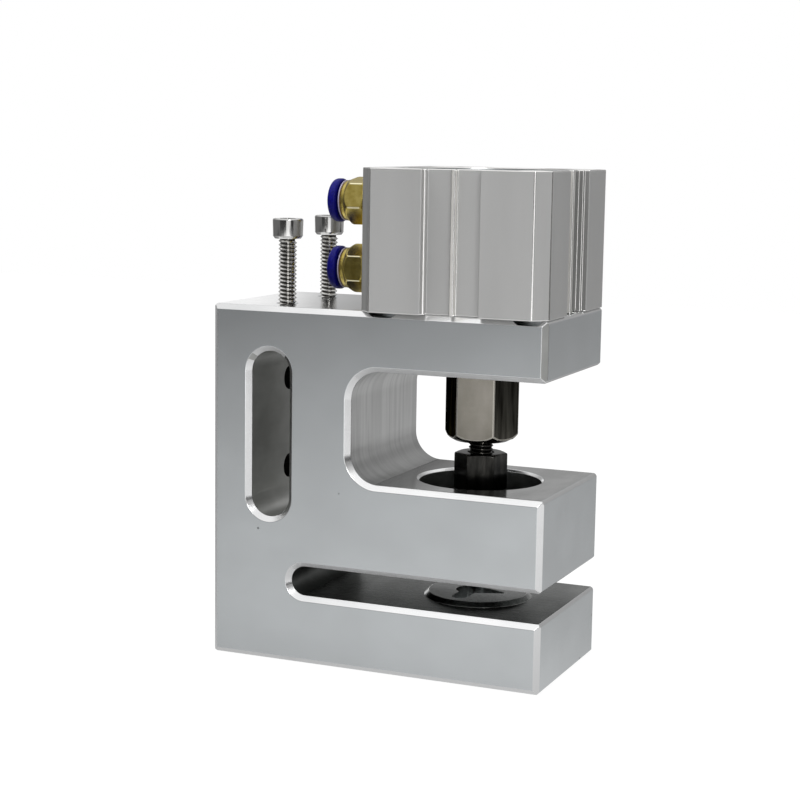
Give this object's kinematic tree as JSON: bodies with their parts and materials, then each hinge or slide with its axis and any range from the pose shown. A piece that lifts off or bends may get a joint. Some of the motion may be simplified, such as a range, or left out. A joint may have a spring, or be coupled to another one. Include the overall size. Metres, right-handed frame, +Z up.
{
  "type": "pneumatic punching machine",
  "caption": "Air-driven hole punch: block with film slot and throat, square air cylinder on its upper arm, ram with winged punch over a die, and clamp screws over an upright bar slot.",
  "frame": {"origin": "middle of the block's underside, which is also the middle of the whole part's bounding box at its bottom", "axes": "+Z up, +X from the block's closed side to its open end, +Y from the front face to the back face"},
  "size_m": [0.114, 0.062, 0.1606],
  "materials": {
    "aluminium": "milled and polished",
    "anodised": "matte anodised",
    "steel": "ground",
    "die_steel": "hardened and ground",
    "black_steel": "black oxide",
    "stainless": "bright",
    "brass": "bright turned",
    "blue_plastic": "smooth",
    "grey_plastic": "smooth",
    "rubber": "moulded"
  },
  "bodies": {
    "machine": {"frame": "aluminium", "cylinder_body": "anodised", "head_cover": "anodised", "rod_cover": "anodised", "mounting_bolt_front_left": "stainless", "mounting_bolt_front_right": "stainless", "mounting_bolt_back_left": "stainless", "mounting_bolt_back_right": "stainless", "upper_fitting_grip": "stainless", "lower_fitting_grip": "stainless", "upper_fitting_body": "brass", "lower_fitting_body": "brass", "upper_fitting_ring": "grey_plastic", "lower_fitting_ring": "grey_plastic", "upper_fitting_seal": "rubber", "lower_fitting_seal": "rubber", "head_cover_seal": "rubber", "rod_cover_seal": "rubber", "rod_seal": "rubber", "head_retaining_ring": "black_steel", "rod_retaining_ring": "black_steel", "punch_guide": "black_steel", "die_insert": "die_steel"},
    "ram": {"piston": "anodised", "upper_piston_seal": "rubber", "lower_piston_seal": "rubber", "piston_screw": "stainless", "piston_rod": "steel", "rod_coupling": "steel", "punch_stud": "black_steel", "punch_nut": "black_steel", "punch": "black_steel"},
    "upper_collar": {"upper_release_collar": "blue_plastic"},
    "lower_collar": {"lower_release_collar": "blue_plastic"},
    "front_clamp": {"clamp_screw_front": "stainless"},
    "back_clamp": {"clamp_screw_back": "stainless"}
  },
  "joints": [
    {"name": "ram", "type": "slide", "parent": "machine", "child": "ram", "axis": [0, 0, -1], "range_m": [0, 0.015]},
    {"name": "upper_collar", "type": "slide", "parent": "machine", "child": "upper_collar", "axis": [1, 0, 0], "range_m": [0, 0.0007], "stiffness_N_per_m": 400},
    {"name": "lower_collar", "type": "slide", "parent": "machine", "child": "lower_collar", "axis": [1, 0, 0], "range_m": [0, 0.0007], "stiffness_N_per_m": 400},
    {"name": "front_clamp", "type": "slide", "parent": "machine", "child": "front_clamp", "axis": [0, 0, -1], "range_m": [0, 0.02]},
    {"name": "back_clamp", "type": "slide", "parent": "machine", "child": "back_clamp", "axis": [0, 0, -1], "range_m": [0, 0.02]}
  ]
}
